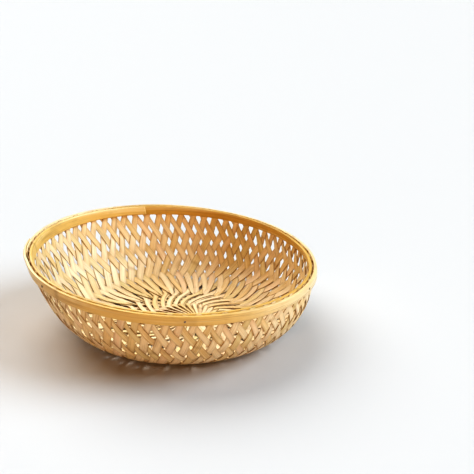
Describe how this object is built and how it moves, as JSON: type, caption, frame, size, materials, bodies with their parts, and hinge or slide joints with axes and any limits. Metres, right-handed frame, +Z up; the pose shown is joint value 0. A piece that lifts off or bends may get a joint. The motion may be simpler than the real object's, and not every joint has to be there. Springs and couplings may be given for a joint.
{
  "type": "woven bamboo proofing basket",
  "caption": "Shallow round basket of woven split bamboo, its rim clamped between two nailed hoops; holds dough while it proofs, or bread for serving.",
  "frame": {"origin": "on the table under the middle of the rim", "axes": "+Z up, out of the basket's mouth; +X towards the lower side of the slightly uneven rim, the side that the base sits nearer to; +Y across"},
  "size_m": [0.2212, 0.22, 0.066],
  "materials": {
    "splint": "matte split bamboo",
    "outer_hoop": "satin bamboo",
    "inner_hoop": "satin golden bamboo",
    "brad": "dull steel"
  },
  "bodies": {
    "root": {"splint_pair_01": "splint", "splint_pair_02": "splint", "splint_pair_03": "splint", "splint_pair_04": "splint", "splint_pair_05": "splint", "splint_pair_06": "splint", "splint_pair_07": "splint", "splint_pair_08": "splint", "splint_pair_09": "splint", "splint_pair_10": "splint", "splint_pair_11": "splint", "splint_pair_12": "splint", "splint_pair_13": "splint", "splint_pair_14": "splint", "splint_pair_15": "splint", "splint_pair_16": "splint", "splint_pair_17": "splint", "splint_pair_18": "splint", "splint_pair_19": "splint", "splint_pair_20": "splint", "splint_pair_21": "splint", "splint_pair_22": "splint", "splint_pair_23": "splint", "splint_pair_24": "splint", "splint_pair_25": "splint", "splint_pair_26": "splint", "splint_pair_27": "splint", "splint_pair_28": "splint", "splint_pair_29": "splint", "splint_pair_30": "splint", "splint_pair_31": "splint", "splint_pair_32": "splint", "splint_pair_33": "splint", "splint_pair_34": "splint", "outer_hoop": "outer_hoop", "inner_hoop": "inner_hoop", "brad_1": "brad", "brad_2": "brad", "brad_3": "brad", "brad_4": "brad", "brad_5": "brad", "brad_6": "brad"}
  },
  "joints": []
}
